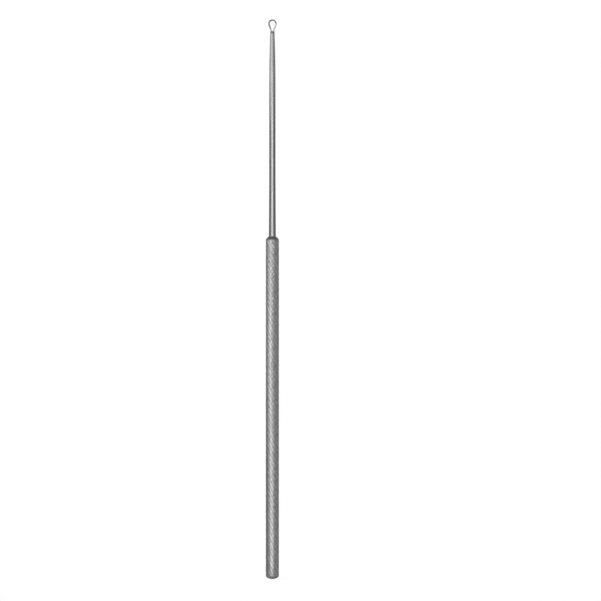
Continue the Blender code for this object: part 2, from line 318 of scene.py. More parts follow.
def worn_diamonds(across_left, across_right, s):
    """Depth that each diamond has lost: an amount of its own, plus its own lean two ways.

    A diamond lies round each place where both counts are whole numbers, and the two
    remainders are the place inside it. The three chances of a diamond come from a table
    whose row is the difference of the two numbers and whose column is the first of them.
    Half the first chance plus a half, plus twice the others times their remainders, is
    the share of the wear.
    """
    left, right = np.round(across_left), np.round(across_right)
    row = (left - right).astype(int)
    column = left.astype(int) % s.starts
    table = np.random.default_rng(WEAR_SEED).uniform(-1, 1, (3, row.max() - row.min() + 1, s.starts))
    lost, lean_left, lean_right = table[:, row - row.min(), column]
    lean = 2 * (lean_left * (across_left - left) + lean_right * (across_right - right))
    return np.maximum(s.wear * (0.5 + 0.5 * lost + lean), 0)


def handle_grid(s):
    """Radius, angle and height of the handle's outer skin, and a mask for its split faces.

    A diamond knurl is two families of grooves. With c counted in half pitches round
    the bar and k in rows along it, left-hand grooves lie where (c + k) / 2 is a half
    number and right-hand ones where (c - k) / 2 is. The depth is that of the deeper
    groove or of the wear. Each row is turned by the gain times k, because the two
    spacings differ. The chamfer and the dome cut through the knurl, so the least of the
    radii counts. The mask is true where a face's middle is nearer to a left-hand groove.
    """
    land = land_radius(s)
    bottom = s.dome_height
    top = HANDLE_TOP - s.chamfer_height
    row_pitch = 1 / (1 / s.left_spacing + 1 / s.right_spacing)
    rows = round((top - bottom) / row_pitch)
    row_height = (top - bottom) / rows
    gain = row_pitch / s.right_spacing - 0.5
    sweep = np.linspace(math.asin(s.flat_radius / land), QUARTER_TURN, DOME_ROWS, endpoint=False)
    dome = s.dome_height * (1 - np.cos(sweep) / math.cos(sweep[0]))
    bar = np.linspace(bottom, top, rows * s.cell_steps + 1)
    chamfer = np.linspace(top, HANDLE_TOP, CHAMFER_ROWS + 1)[1:]
    height = np.concatenate([dome, bar, chamfer])[:, None]
    k = (height - bottom) / row_height
    c = np.arange(2 * s.starts * s.cell_steps)[None, :] / s.cell_steps
    turn = (k * gain + c / 2) * FULL_TURN / s.starts
    left, right = (c + k) / 2, (c - k) / 2
    grooves = np.maximum(groove(left, s.left_depth, s), groove(right, s.right_depth, s))
    knurl = land - np.maximum(worn_diamonds(left, right, s), grooves)
    radius = np.minimum(knurl, np.minimum(dome_radius(height, s), chamfer_radius(height, s)))
    middle_k = (k[:-1] + k[1:]) / 2
    middle_c = c + 0.5 / s.cell_steps
    along_left = off_whole((middle_c + middle_k) / 2) > off_whole((middle_c - middle_k) / 2)
    return radius, turn, height, along_left


def build_handle(s):
    """Knurled bar: the outer skin, then the pocket and the bore turned inside it.

    Each face of the skin is split in two along the groove that it is nearer to. The
    bore ends in the cone that a drill leaves.
    """
    radius, turn, height, along_left = handle_grid(s)
    rows, columns = radius.shape
    pocket_floor = HANDLE_TOP - s.pocket_depth
    bore_floor = SHANK_FOOT - s.bore_end_gap
    inner = np.array([
        (s.pocket_radius, HANDLE_TOP), (s.pocket_radius, pocket_floor),
        (s.bore_radius, pocket_floor), (s.bore_radius, bore_floor)])
    outside = turned(radius, turn, height)
    inside = turned(inner[:, :1], turn[-1][None, :], inner[:, 1:])
    cone_tip = (0.0, 0.0, bore_floor - s.bore_radius / math.tan(DRILL_POINT / 2))
    points = np.concatenate([outside.reshape(-1, 3), inside.reshape(-1, 3), [cone_tip]])
    quads = wrapped_quads(rows, columns).reshape(rows - 1, columns, 4)
    split = along_left[..., None]
    first = np.where(split, quads[..., [0, 1, 2]], quads[..., [0, 1, 3]]).reshape(-1, 3)
    second = np.where(split, quads[..., [0, 2, 3]], quads[..., [1, 2, 3]]).reshape(-1, 3)
    inner_quads = wrapped_quads(len(inner) + 1, columns, (rows - 1) * columns)
    last_ring = np.arange(columns) + (rows + len(inner) - 1) * columns
    faces = [list(range(columns))]
    for part in (first, second, inner_quads, fan(len(points) - 1, last_ring)):
        faces.extend(part.tolist())
    piece = closed_piece("knurled_handle", points, faces, HANDLE_CREASE)
    dress(piece, "knurled_steel", knurled_steel(s), "handle")


# Shank

FOOT_POWER = 1.5
TIP_POWER = 2.5
SHANK_COLUMNS = 96
SLOT_COLUMNS = 8
FOOT_ROWS = 9
TAPER_ROWS = 40
CHEEK_ROWS = 9
EDGE_ROWS = 6
SHANK_CREASE = math.radians(30.0)


def shank_radius(height, s):
    """Waist radius plus a swell at the foot, less a fining at the tip and its rounded edge.

    Swell and fining are a power of the share of their taper that is left. The rounded
    edge is a quarter of a circle.
    """
    up = np.maximum(height - HANDLE_TOP, 0)
    down = SHANK_TIP - height
    swell = (s.foot_radius - s.waist_radius) * np.clip(1 - up / s.foot_taper, 0, 1) ** FOOT_POWER
    fining = (s.waist_radius - s.tip_radius) * np.clip(1 - down / s.tip_taper, 0, 1) ** TIP_POWER
    rounding = np.clip(s.tip_rounding - down, 0, s.tip_rounding)
    edge = s.tip_rounding - np.sqrt(s.tip_rounding ** 2 - rounding ** 2)
    return s.waist_radius + swell - fining - edge


def build_shank(s):
    """Turned rod, closed at the tang, whose fine end is two cheeks with a slot between.

    Below the slot each row is a full circle. Above it each cheek is an arc that stops
    where the circle meets the slot's wall, at the angle whose sine is half the slot's
    width over the radius, and the wall joins the arc's two ends.
    """
    slot_floor = SHANK_TIP - s.slot_depth
    half_slot = s.slot_width / 2
    half_ring = SHANK_COLUMNS // 2
    cheek_columns = half_ring - SLOT_COLUMNS
    edge = math.asin(half_slot / shank_radius(slot_floor, s))
    slot_arc = np.linspace(-edge, edge, SLOT_COLUMNS, endpoint=False)
    cheek_arc = np.linspace(edge, HALF_TURN - edge, cheek_columns, endpoint=False)
    angles = np.concatenate([slot_arc, cheek_arc, slot_arc + HALF_TURN, cheek_arc + HALF_TURN])
    low = np.concatenate([
        [SHANK_FOOT, SHANK_FOOT + s.tang_chamfer],
        np.linspace(HANDLE_TOP, HANDLE_TOP + s.foot_taper, FOOT_ROWS),
        np.linspace(SHANK_TIP - s.tip_taper, slot_floor, TAPER_ROWS)])
    low_radius = shank_radius(low, s)
    low_radius[0] -= s.tang_chamfer
    rod = turned(low_radius[:, None], angles[None, :], low[:, None]).reshape(-1, 3)
    points = [rod]
    faces = wrapped_quads(len(low), SHANK_COLUMNS).tolist()
    faces.append(list(range(SHANK_COLUMNS)))
    slot_ring = (len(low) - 1) * SHANK_COLUMNS + np.arange(SHANK_COLUMNS)
    round_off = s.tip_rounding * (1 - np.sin(np.linspace(0, QUARTER_TURN, EDGE_ROWS)))
    high = np.concatenate([
        np.linspace(slot_floor, SHANK_TIP - s.tip_rounding, CHEEK_ROWS)[1:-1],
        SHANK_TIP - round_off])[:, None]
    high_radius = shank_radius(high, s)
    high_edge = np.arcsin(half_slot / high_radius)
    step = np.linspace(0, 1, cheek_columns + 1)
    used = len(rod)
    for side in (0, 1):
        arc = high_edge + (HALF_TURN - 2 * high_edge) * step + side * HALF_TURN
        base = (np.arange(cheek_columns + 1) + SLOT_COLUMNS + side * half_ring) % SHANK_COLUMNS
        index = np.vstack([slot_ring[base], used + np.arange(arc.size).reshape(arc.shape)])
        faces.extend(open_quads(index).tolist())
        faces.extend(open_quads(index[:, [-1, 0]]).tolist())
        faces.append(index[-1].tolist())
        points.append(turned(high_radius, arc, high).reshape(-1, 3))
        used += arc.size
    right_floor = slot_ring[:SLOT_COLUMNS + 1]
    left_floor = slot_ring[half_ring:half_ring + SLOT_COLUMNS + 1]
    faces.append(np.concatenate([right_floor, left_floor]).tolist())
    piece = closed_piece("polished_shank", np.concatenate(points), faces, SHANK_CREASE)
    dress(piece, "polished_steel", polished_steel(s), "shank")


# Loop

WIRE_COLUMNS = 48
BEND_POINTS = 9
ARC_STEP = math.radians(3.0)
FLAT_CRISPNESS = 12
LOOP_CREASE = math.radians(40.0)


def wire_path(s):
    """Middle line of the wire in the XZ plane: leg, bend, straight side, eye, and back.

    The straight side is tangent to the bend and to the eye, so its run is what the
    two radii leave at the taper angle, and its rise is that run over the tangent.
    """
    both_radii = s.eye_radius + s.bend_radius
    bend_x = s.leg_offset + s.bend_radius
    bend_z = SHANK_TIP + s.leg_rise
    run = both_radii * math.cos(s.taper) - bend_x
    eye_z = bend_z + both_radii * math.sin(s.taper) + run / math.tan(s.taper)
    bend = np.linspace(HALF_TURN, HALF_TURN - s.taper, BEND_POINTS)
    eye_points = round((HALF_TURN + 2 * s.taper) / ARC_STEP) + 1
    eye = np.linspace(-s.taper, HALF_TURN + s.taper, eye_points)
    foot = np.array([[s.leg_offset, LOOP_FOOT]])
    bend = np.stack([bend_x + s.bend_radius * np.cos(bend), bend_z + s.bend_radius * np.sin(bend)], -1)
    eye = np.stack([s.eye_radius * np.cos(eye), eye_z + s.eye_radius * np.sin(eye)], -1)
    side = np.concatenate([foot, bend])
    return np.concatenate([side, eye, side[::-1] * (-1, 1)])


def build_loop(s):
    """Round wire, ground flat on both faces of the eye so that its inner edge is blunt.

    A circle is carried along the path, across it and along Y. Its radius is divided by
    the 12-norm of one and of the reach towards the nearer flat over the flat's depth,
    which cuts the circle off at the flat. The flats fade in above the legs.
    """
    path = wire_path(s)
    nought = np.zeros(len(path))
    along = np.gradient(path, axis=0)
    along /= np.linalg.norm(along, axis=1, keepdims=True)
    across = np.stack([along[:, 1], nought, -along[:, 0]], axis=-1)
    middle = np.stack([path[:, 0], nought, path[:, 1]], axis=-1)
    angles = whole_turn(WIRE_COLUMNS)
    toward_flat = np.cos(s.flat_tilt) * np.abs(np.sin(angles)) - np.sin(s.flat_tilt) * np.cos(angles)
    fade = np.clip((path[:, 1:] - SHANK_TIP - s.leg_rise) / s.flat_fade, 0, 1)
    depth = 1 - (1 - s.flat_depth) * fade
    norm = (1 + (np.maximum(toward_flat, 0) / depth) ** FLAT_CRISPNESS) ** (1 / FLAT_CRISPNESS)
    radius = (s.wire_radius / np.where(fade > 0, norm, 1))[..., None]
    angles = angles[..., None]
    rings = middle[:, None] + radius * (np.cos(angles) * across[:, None] + np.sin(angles) * (0, 1, 0))
    piece = closed_piece("wire_loop", rings, capped_tube(len(path), WIRE_COLUMNS), LOOP_CREASE)
    dress(piece, "wire_steel", drawn_wire(s), "loop_wire")


# Brazed joints

RING_COLUMNS = 96
FILLET_STEPS = 12
RING_CREASE = math.radians(40.0)
FILL_ROWS = 14
FILL_SIDE_PARTS = 3
FILL_END_PARTS = 4
FILL_CREASE = math.radians(30.0)
CAP_RINGS = 28
CAP_COLUMNS = 72
CAP_RIM_POWER = 8
CAP_CREASE = math.radians(50.0)


def build_neck_braze(s, shank, handle):
    """Ring of brazing metal: a quarter ellipse, hollow side out, over a plug in the pocket."""
    inner = shank.foot_radius + s.gap
    outer = handle.collar_radius - s.collar_margin
    plug = handle.pocket_radius - s.gap
    seat = HANDLE_TOP + s.gap
    plug_floor = seat - handle.pocket_depth
    sweep = np.linspace(0, QUARTER_TURN, FILLET_STEPS)
    fillet = np.stack([
        outer - (outer - inner - s.fillet_edge) * np.cos(sweep),
        seat + s.fillet_height - (s.fillet_height - s.fillet_edge) * np.sin(sweep)], axis=-1)
    under = np.array([
        (outer, seat), (plug, seat), (plug, plug_floor),
        (inner, plug_floor), (inner, seat + s.fillet_height)])
    outline = np.concatenate([fillet, under])
    points = turned(outline[:, :1], whole_turn(RING_COLUMNS), outline[:, 1:])
    index = np.arange(len(outline) * RING_COLUMNS).reshape(len(outline), RING_COLUMNS)
    index = np.pad(index, (0, 1), mode="wrap")
    piece = closed_piece("neck_fillet", points, open_quads(index).tolist(), RING_CREASE)
    dress(piece, "silver_braze", silver_braze(s), "neck_braze")


def build_slot_fill(s, shank):
    """Brazing metal in the slot, flush with the round shank: two arcs joined by two flats.

    It stays off the slot's walls by a third of the gap, and ends below the shank's end
    by a quarter of its rounding.
    """
    half = shank.slot_width / 2 - s.gap / FILL_SIDE_PARTS
    bottom = SHANK_TIP - shank.slot_depth + s.gap
    top = SHANK_TIP - shank.tip_rounding / FILL_END_PARTS
    height = np.linspace(bottom, top, FILL_ROWS)[:, None]
    radius = shank_radius(height, shank)
    arc = np.arcsin(half / radius) * np.linspace(-1, 1, SLOT_COLUMNS + 1)
    angles = np.hstack([arc, HALF_TURN + arc])
    faces = capped_tube(FILL_ROWS, angles.shape[1])
    piece = closed_piece("slot_fill", turned(radius, angles, height), faces, FILL_CREASE)
    dress(piece, "silver_braze", silver_braze(s), "tip_braze")


def build_tip_cap(s, shank, loop):
    """Film of brazing metal over the shank's end, which climbs each leg and dies away.

    Its height over the end is the film plus the climb times e to the power of minus
    the distance from the wire over the reach. It thins to nothing at the rim.
    """
    rim = shank.tip_radius - shank.tip_rounding
    share_out = np.linspace(0, 1, CAP_RINGS)[:, None]
    ends = turned(rim * share_out, whole_turn(CAP_COLUMNS), 0.0)
    x, y = ends[..., 0], ends[..., 1]
    from_leg = np.maximum(np.hypot(np.abs(x) - loop.leg_offset, y) - loop.wire_radius, 0)
    thin = 1 - share_out ** CAP_RIM_POWER
    top = SHANK_TIP + (s.film + s.leg_climb * np.exp(-from_leg / s.leg_reach)) * thin
    skin = np.stack([x, y, top], axis=-1)
    points = np.concatenate([skin[0, :1], skin[1:].reshape(-1, 3)])
    first_ring = 1 + np.arange(CAP_COLUMNS)
    last_ring = first_ring + (CAP_RINGS - 2) * CAP_COLUMNS
    faces = wrapped_quads(CAP_RINGS - 1, CAP_COLUMNS, 1).tolist()
    faces += fan(0, first_ring).tolist()
    faces.append(last_ring.tolist())
    piece = closed_piece("tip_cap", points, faces, CAP_CREASE)
    dress(piece, "silver_braze", silver_braze(s))


# Materials

BUMP_STRENGTH = 0.35
SMOOTH_DETAIL = 2.0
MIDDLE_DETAIL = 3.0
FINE_DETAIL = 4.0

# Numbers of a Mix node's colour sockets.
MIX_FIRST = 6
MIX_SECOND = 7
MIX_RESULT = 2


class Pattern(NamedTuple):
    """Lines or marks of one metal, as a noise of this scale and stretch along the tool.

    They cover the colour by their cover with their tone of it, add their roughness, and
    stand up by their bump.
    """

    scale: float
    stretch: float = 1.0
    cover: float = 0.0
    tone: float = 1.0
    roughness: float = 0.0
    bump: float = 0.0


KNURL_LINES = Pattern(7000.0, stretch=6.0, bump=0.004 * MM)
KNURL_MARKS = Pattern(350.0, cover=0.16, tone=0.72, roughness=0.06)
SHANK_LINES = Pattern(9000.0, stretch=0.02, cover=0.3, tone=0.8, roughness=0.07, bump=0.0005 * MM)
SHANK_MARKS = Pattern(260.0, cover=0.12, tone=0.75, roughness=0.05)
WIRE_LINES = Pattern(16000.0, stretch=0.2, roughness=0.1, bump=0.002 * MM)
WIRE_MARKS = Pattern(1500.0, cover=0.25, tone=0.75)
BRAZE_MARKS = Pattern(2500.0, cover=0.4, tone=0.7, roughness=0.12)
BRAZE_RIPPLE = Pattern(6000.0, bump=0.01 * MM)

# Where a blend is complete, as a share of its height or reach from the piece's end.
POLISH_FULL = 0.6
JOINT_FULL = 0.5
SKIN_FULL = 0.3


def opaque(tint, tone=1.0):
    """A share of a colour, with full alpha."""
    return (*(part * tone for part in tint), 1.0)


class Shader:
    """A short way to add and join nodes in a material or a node group."""

    def __init__(self, tree):
        self.tree = tree

    def add(self, kind, inputs=(), **settings):
        """Add a node, set its settings, and set or link its inputs."""
        node = self.tree.nodes.new(kind)
        for key, value in settings.items():
            setattr(node, key, value)
        for key, value in dict(inputs).items():
            self.feed(node, key, value)
        return node

    def feed(self, node, key, value):
        """Link an output to this input of a node, or set the input to a plain value."""
        if isinstance(value, bpy.types.NodeSocket):
            self.tree.links.new(value, node.inputs[key])
        else:
            node.inputs[key].default_value = value

    def math(self, operation, first, second=0.0, clamp=False):
        """Work out one sum and give its output."""
        inputs = {0: first, 1: second}
        return self.add("ShaderNodeMath", inputs, operation=operation, use_clamp=clamp).outputs[0]

    def raised(self, base, mask, rise):
        """A value plus a mask times a rise."""
        return self.math("ADD", base, self.math("MULTIPLY", mask, rise))

    def ramp(self, value, low, high, to_low=0.0, to_high=1.0):
        """Map a value from one range to another, smoothly and within bounds."""
        inputs = {"Value": value, "From Min": low, "From Max": high, "To Min": to_low, "To Max": to_high}
        return self.add("ShaderNodeMapRange", inputs, interpolation_type="SMOOTHSTEP").outputs["Result"]

    def noise(self, vector, scale, detail):
        """Noise between nought and one at this vector."""
        inputs = {"Vector": vector, "Scale": scale, "Detail": detail}
        return self.add("ShaderNodeTexNoise", inputs).outputs["Fac"]

    def mix(self, factor, first, second):
        """Mix two colours."""
        inputs = {"Factor": factor, MIX_FIRST: first, MIX_SECOND: second}
        return self.add("ShaderNodeMix", inputs, data_type="RGBA").outputs[MIX_RESULT]

    def covered(self, tint, mask, pattern, base):
        """A colour that a pattern covers with its tone of the base."""
        return self.mix(self.math("MULTIPLY", mask, pattern.cover), tint, opaque(base, pattern.tone))

    def length(self, vector):
        """Length of a vector."""
        return self.add("ShaderNodeVectorMath", {0: vector}, operation="LENGTH").outputs["Value"]


def node_group(name, inputs, outputs):
    """Make a node group, or find it, with the input Place and these number sockets."""
    group = bpy.data.node_groups.get(name)
    if group:
        return group, None
    group = bpy.data.node_groups.new(name, "ShaderNodeTree")
    group.interface.new_socket("Place", in_out="INPUT", socket_type="NodeSocketVector")
    for key, default in inputs.items():
        socket = group.interface.new_socket(key, in_out="INPUT", socket_type="NodeSocketFloat")
        socket.default_value = default
    for key in outputs:
        group.interface.new_socket(key, in_out="OUTPUT", socket_type="NodeSocketFloat")
    return group, Shader(group)


PATCH_FINENESS = 0.08
SPECK_FINENESS = 9.0
SPECK_COVER = 0.35

# Range of each noise that its mask spreads from nought to one.
LINE_RANGE = (0.35, 0.75)
PATCH_RANGE = (0.3, 0.7)
SMEAR_RANGE = (0.35, 0.7)
SPECK_RANGE = (0.62, 0.75)


def polish_lines():
    """Fine polishing lines that run along the tool, as a mask and a height.

    The Z of the place is multiplied by the stretch, so a stretch well below one draws
    the noise out into hair lines. A coarser noise without stretch breaks them up.
    """
    defaults = {"Fineness": SHANK_LINES.scale, "Stretch": SHANK_LINES.stretch}
    group, shader = node_group("Polish lines", defaults, ["Mask", "Height"])
    if shader is None:
        return group
    source = shader.add("NodeGroupInput").outputs
    squash = shader.add("ShaderNodeCombineXYZ", {"X": 1.0, "Y": 1.0, "Z": source["Stretch"]})
    inputs = {0: source["Place"], 1: squash.outputs[0]}
    place = shader.add("ShaderNodeVectorMath", inputs, operation="MULTIPLY").outputs[0]
    lines = shader.noise(place, source["Fineness"], FINE_DETAIL)
    coarse = shader.math("MULTIPLY", source["Fineness"], PATCH_FINENESS)
    patches = shader.noise(source["Place"], coarse, SMOOTH_DETAIL)
    mask = shader.math("MULTIPLY", shader.ramp(lines, *LINE_RANGE), shader.ramp(patches, *PATCH_RANGE))
    shader.add("NodeGroupOutput", {"Mask": mask, "Height": lines})
    return group


def handling_marks():
    """Soft smears left by fingers and wiping: a broad noise and small specks, as one mask."""
    group, shader = node_group("Handling marks", {"Size": SHANK_MARKS.scale}, ["Mask"])
    if shader is None:
        return group
    source = shader.add("NodeGroupInput").outputs
    smears = shader.noise(source["Place"], source["Size"], MIDDLE_DETAIL)
    fine = shader.math("MULTIPLY", source["Size"], SPECK_FINENESS)
    specks = shader.ramp(shader.noise(source["Place"], fine, SMOOTH_DETAIL), *SPECK_RANGE)
    specks = shader.math("MULTIPLY", specks, SPECK_COVER)
    mask = shader.math("ADD", shader.ramp(smears, *SMEAR_RANGE), specks, clamp=True)
    shader.add("NodeGroupOutput", {"Mask": mask})
    return group


def blank_material(name):
    """A new material without nodes."""
    material = bpy.data.materials.new(name)
    material.use_nodes = True
    material.node_tree.nodes.clear()
    return material


class Metal(Shader):
    """A metal's material, with its Principled shader and its Object coordinates."""

    def __init__(self, name):
        self.material = blank_material(name)
        super().__init__(self.material.node_tree)
        self.surface = self.add("ShaderNodeBsdfPrincipled", {"Metallic": 1.0})
        self.add("ShaderNodeOutputMaterial", {"Surface": self.surface.outputs[0]})
        self.place = self.add("ShaderNodeTexCoord").outputs["Object"]

    def apart(self):
        """X, Y and Z of the place, of which Z is the height above the butt."""
        return self.add("ShaderNodeSeparateXYZ", {0: self.place}).outputs

    def lines(self, pattern):
        """Place the polishing lines with this metal's own values."""
        inputs = {"Place": self.place, "Fineness": pattern.scale, "Stretch": pattern.stretch}
        return self.add("ShaderNodeGroup", inputs, node_tree=polish_lines()).outputs

    def marks(self, pattern):
        """Place the handling marks with this metal's own size, and give their mask."""
        inputs = {"Place": self.place, "Size": pattern.scale}
        return self.add("ShaderNodeGroup", inputs, node_tree=handling_marks()).outputs["Mask"]

    def finish(self, tint, roughness, height, depth):
        """Link colour, roughness and a fine bump to the surface, and give the material."""
        inputs = {"Strength": BUMP_STRENGTH, "Distance": depth, "Height": height}
        bump = self.add("ShaderNodeBump", inputs)
        self.feed(self.surface, "Base Color", tint)
        self.feed(self.surface, "Roughness", roughness)
        self.feed(self.surface, "Normal", bump.outputs[0])
        return self.material


def knurled_steel(s):
    """Satin steel: worn lands over duller grooves, and a turned polish on chamfer and dome.

    The distance from the tool's axis tells a land from a groove, and the height tells
    where the polish begins and where the darker ring below the chamfer is.
    """
    steel = Metal("knurled_steel")
    apart = steel.apart()
    height = apart["Z"]
    flat = steel.add("ShaderNodeCombineXYZ", {"X": apart["X"], "Y": apart["Y"]})
    land = land_radius(s)
    shoulder = HANDLE_TOP - s.chamfer_height
    worn = steel.ramp(steel.length(flat.outputs[0]), land - s.left_depth, land)
    above = steel.ramp(height, shoulder, HANDLE_TOP - POLISH_FULL * s.chamfer_height)
    below = steel.ramp(height, s.dome_height, POLISH_FULL * s.dome_height)
    polished = steel.math("MAXIMUM", above, below)
    # Darker colour in a ring where the knurl runs out at the chamfer.
    rising = steel.ramp(height, shoulder - s.runout_reach, shoulder)
    falling = steel.ramp(height, shoulder, shoulder + s.runout_reach, 1.0, 0.0)
    runout_ring = steel.math("MULTIPLY", rising, falling)
    marks = steel.marks(KNURL_MARKS)
    tint = steel.mix(worn, opaque(s.groove_colour), opaque(s.land_colour))
    tint = steel.mix(polished, tint, opaque(s.land_colour))
    tint = steel.covered(tint, marks, KNURL_MARKS, s.land_colour)
    tint = steel.mix(runout_ring, tint, opaque(s.land_colour, s.runout_tone))
    rough = steel.ramp(worn, 0.0, 1.0, s.groove_roughness, s.land_roughness)
    rough = steel.raised(rough, marks, KNURL_MARKS.roughness)
    rough = steel.math("MULTIPLY", rough, steel.math("SUBTRACT", 1.0, polished))
    rough = steel.raised(rough, polished, s.polish_roughness)
    steel.feed(steel.surface, "Metallic", steel.ramp(polished, 0.0, 1.0, s.bare_metal, 1.0))
    return steel.finish(tint, rough, steel.lines(KNURL_LINES)["Height"], KNURL_LINES.bump)


def polished_steel(s):
    """Bright steel with hair lines along the shank and faint wipe marks.

    It is duller towards the fine end, where its colour is also lightened as painted light, and dark and
    dull beside the joint.
    """
    steel = Metal("polished_steel")
    lines = steel.lines(SHANK_LINES)
    marks = steel.marks(SHANK_MARKS)
    height = steel.apart()["Z"]
    joint_low = SHANK_TIP - s.joint_reach
    towards_tip = steel.ramp(height, SHANK_TIP - s.dull_reach, SHANK_TIP)
    at_joint = steel.ramp(height, joint_low, SHANK_TIP - JOINT_FULL * s.joint_reach)
    tint = steel.covered(opaque(s.steel_colour), lines["Mask"], SHANK_LINES, s.steel_colour)
    tint = steel.covered(tint, marks, SHANK_MARKS, s.steel_colour)
    # Painted light: the colour grows lighter towards the fine end.
    tint = steel.mix(towards_tip, tint, opaque(s.steel_colour, s.painted_tip_light))
    tint = steel.mix(at_joint, tint, opaque(s.steel_colour, s.joint_shade))
    rough = steel.raised(s.roughness, lines["Mask"], SHANK_LINES.roughness)
    rough = steel.raised(rough, marks, SHANK_MARKS.roughness)
    rough = steel.raised(rough, towards_tip, s.tip_dulling)
    rough = steel.raised(rough, at_joint, s.joint_dulling)
    return steel.finish(tint, rough, lines["Height"], SHANK_LINES.bump)


def drawn_wire(s):
    """Bright drawn wire, a little duller in patches, with a matt skin on the brazed legs.

    The skin is not metal, so the share of metal is one less the skin's share.
    """
    wire = Metal("drawn_wire")
    lines = wire.lines(WIRE_LINES)
    marks = wire.marks(WIRE_MARKS)
    skin_low = SHANK_TIP + SKIN_FULL * s.skin_reach
    skin = wire.ramp(wire.apart()["Z"], skin_low, SHANK_TIP + s.skin_reach, s.skin_cover, 0.0)
    tint = wire.covered(opaque(s.wire_colour), marks, WIRE_MARKS, s.wire_colour)
    tint = wire.mix(skin, tint, opaque(s.skin_colour))
    rough = wire.raised(s.roughness, lines["Mask"], WIRE_LINES.roughness)
    wire.feed(wire.surface, "Metallic", wire.math("SUBTRACT", 1.0, skin))
    return wire.finish(tint, rough, lines["Height"], WIRE_LINES.bump)


def silver_braze(s):
    """Brazing metal: a touch warmer than steel, with a soft frozen ripple."""
    found = bpy.data.materials.get("silver_braze")
    if found:
        return found
    braze = Metal("silver_braze")
    marks = braze.marks(BRAZE_MARKS)
    ripple = braze.noise(braze.place, BRAZE_RIPPLE.scale, SMOOTH_DETAIL)
    tint = braze.covered(opaque(s.silver_colour), marks, BRAZE_MARKS, s.silver_colour)
    rough = braze.raised(s.roughness, marks, BRAZE_MARKS.roughness)
    return braze.finish(tint, rough, ripple, BRAZE_RIPPLE.bump)


# Stage

FLOOR_RINGS = 8
FLOOR_COLUMNS = 64
FADE_START = 0.35
FADE_END = 0.95
CARD_REACH = 1.6
FAR_REACH = 1.58
NEAR_REACH = 0.15
CARD_HEIGHT = 1.5
CARD_STEPS = 25
ROUND_CARD_STEPS = 48
TOP_GREY = 0.13
GROUND_GREY = 0.26

# Grey cards all round: name, azimuths of the two ends in degrees, and grey.
WALL_CARDS = (
    ("front_card", -60.0, 35.0, 0.22),
    ("right_card", 35.0, 150.0, 0.18),
    ("back_card", 150.0, 215.0, 0.2),
    ("left_card", 215.0, 300.0, 0.19))

# Edges of the diffusers and shades, upwards: height in metres, then the azimuths of the
# left and the right edge in degrees, counted from -Y towards +X.
UPPER_EDGES = (
    (0.1, -36.0, 33.0), (0.19, -35.0, 31.0), (0.25, -28.0, 25.0),
    (0.28, -33.0, 22.0), (0.305, -46.0, 23.0), (0.33, -110.0, 26.0),
    (0.5, -110.0, 26.0), (0.6, -72.0, -4.0), (1.1, -72.0, -4.0))
LOWER_EDGES = (
    (-0.25, -28.0, 12.0), (0.0, -31.0, 14.0), (0.05, -64.0, -21.0), (0.094, -66.0, -24.0))
LEFT_SHADE_EDGES = ((-0.25, -150.0, -34.0), (0.0, -150.0, -34.0), (0.05, -150.0, -110.0))
RIGHT_SHADE_EDGES = ((0.065, 10.0, 42.0), (0.094, -6.0, 42.0))
BACK_EDGES = ((-1.3, 160.0, 196.0), (1.1, 160.0, 196.0))
RIGHT_EDGES = ((0.36, 45.0, 90.0), (0.8, 45.0, 90.0))


def white_world(s):
    """White for camera, glossy and transmission rays, and a softer fill for the rest."""
    world = bpy.data.worlds.new("white_studio")
    world.use_nodes = True
    shader = Shader(world.node_tree)
    path = shader.add("ShaderNodeLightPath").outputs
    seen = shader.math("MAXIMUM", path["Is Camera Ray"], path["Is Glossy Ray"])
    seen = shader.math("MAXIMUM", seen, path["Is Transmission Ray"])
    background = world.node_tree.nodes["Background"]
    shader.feed(background, "Color", opaque((1.0, 1.0, 1.0)))
    shader.feed(background, "Strength", shader.ramp(seen, 0.0, 1.0, s.fill_strength, 1.0))
    bpy.context.scene.world = world


def floor_paint(s):
    """Diffuse paint that glows up to white for the camera and fades to plain white outwards.

    The glow is one less what the white surroundings give the paint, so the floor looks
    white and still takes the tool's shadow. Reflections see less of the glow and the rim.
    """
    material = blank_material("pale_floor")
    shader = Shader(material.node_tree)
    place = shader.add("ShaderNodeTexCoord").outputs["Object"]
    start, end = FADE_START * s.floor_radius, FADE_END * s.floor_radius
    fade = shader.ramp(shader.length(place), start, end)
    path = shader.add("ShaderNodeLightPath").outputs
    lift = 1.0 - s.floor_colour[0] * s.fill_strength
    seen = shader.math("MULTIPLY", path["Is Camera Ray"], lift)
    seen = shader.raised(seen, path["Is Glossy Ray"], s.floor_glow)
    paint = shader.add("ShaderNodeBsdfDiffuse", {"Color": opaque(s.floor_colour)})
    glow = shader.add("ShaderNodeEmission", {"Strength": seen})
    lit = shader.add("ShaderNodeAddShader", {0: paint.outputs[0], 1: glow.outputs[0]})
    rim = shader.ramp(path["Is Glossy Ray"], 0.0, 1.0, 1.0, s.rim_glow)
    white = shader.add("ShaderNodeEmission", {"Strength": rim})
    both = shader.add("ShaderNodeMixShader", {0: fade, 1: lit.outputs[0], 2: white.outputs[0]})
    shader.add("ShaderNodeOutputMaterial", {"Surface": both.outputs[0]})
    return material


def pale_floor(s):
    """Round floor under the tool, as rings of equal width round a middle point."""
    rings = np.linspace(0, s.floor_radius, FLOOR_RINGS + 1)[1:, None]
    grid = turned(rings, whole_turn(FLOOR_COLUMNS), 0.0)
    points = np.concatenate([[(0.0, 0.0, 0.0)], grid.reshape(-1, 3)])
    faces = wrapped_quads(FLOOR_RINGS, FLOOR_COLUMNS, 1).tolist()
    faces += fan(0, 1 + np.arange(FLOOR_COLUMNS)).tolist()
    floor = new_object("pale_floor", points, faces)
    floor.data.materials.append(floor_paint(s))


